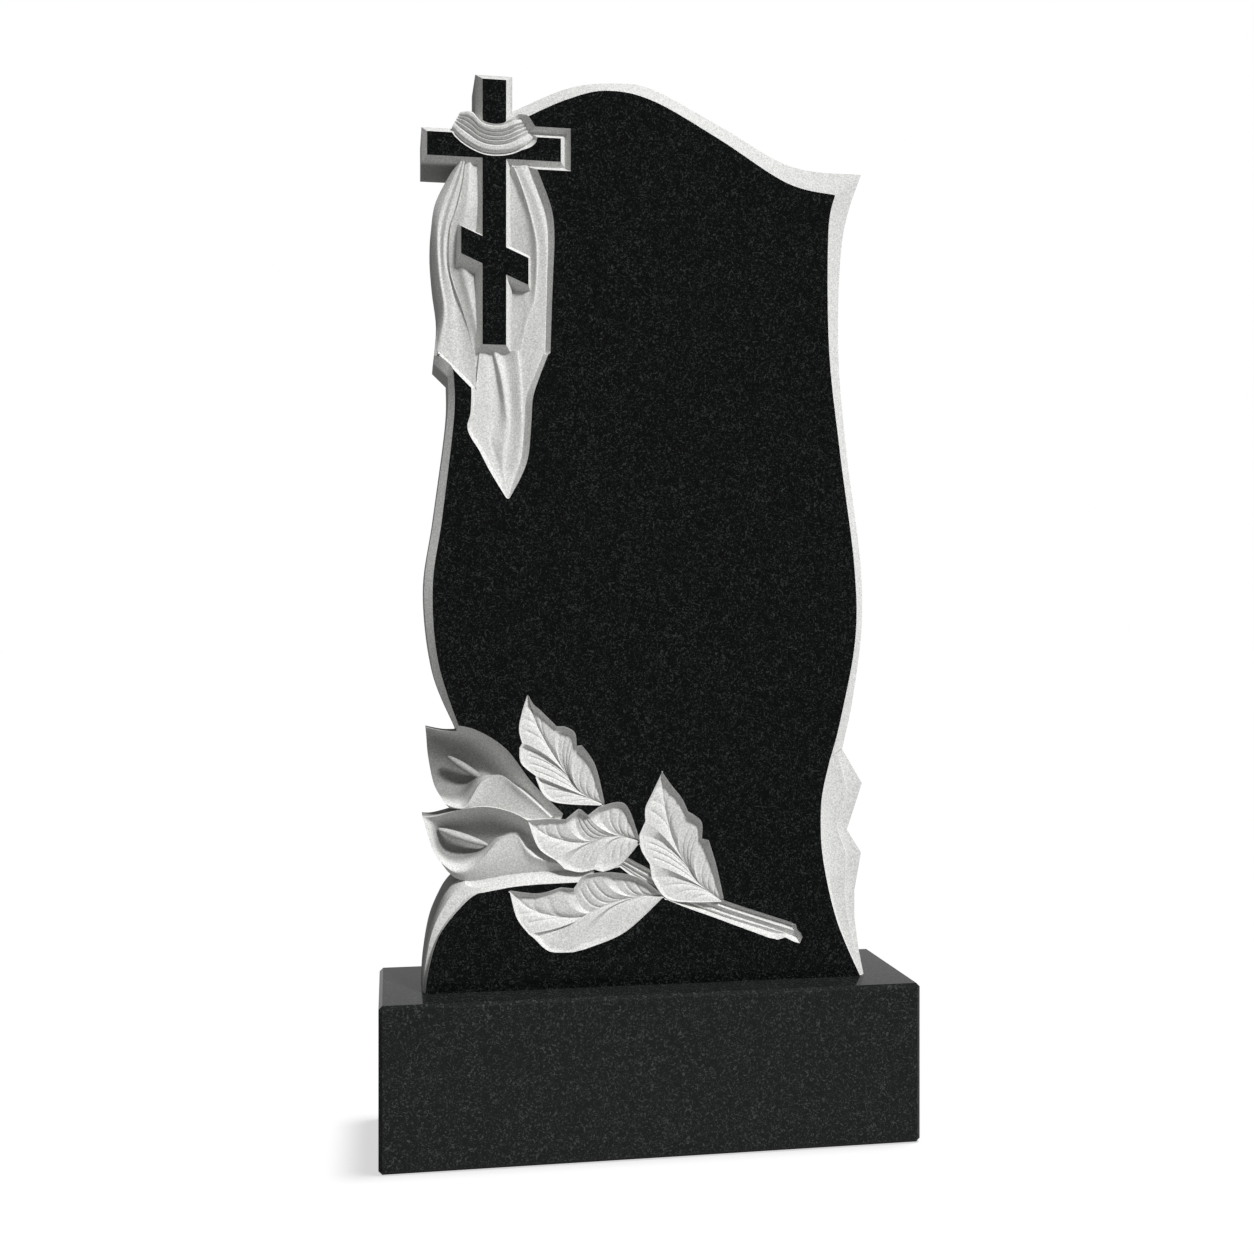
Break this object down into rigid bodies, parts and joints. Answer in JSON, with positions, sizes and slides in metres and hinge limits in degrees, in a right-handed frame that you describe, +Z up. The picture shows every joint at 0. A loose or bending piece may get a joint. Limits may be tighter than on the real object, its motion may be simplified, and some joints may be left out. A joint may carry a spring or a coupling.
{
  "type": "gravestone",
  "caption": "Upright carved granite gravestone with a draped cross, lilies and leaves in relief, standing on a rectangular plinth to mark a grave.",
  "frame": {"origin": "middle of the plinth's underside", "axes": "+Z up, +Y from the carved front to the back, +X to the right as seen from the front"},
  "size_m": [0.6, 0.1784, 1.1895],
  "materials": {
    "stele_granite": "polished black granite face, carved areas left light grey and unpolished",
    "plinth_granite": "polished black granite on all sides"
  },
  "bodies": {
    "root": {"stele": "stele_granite", "plinth": "plinth_granite"}
  },
  "joints": []
}
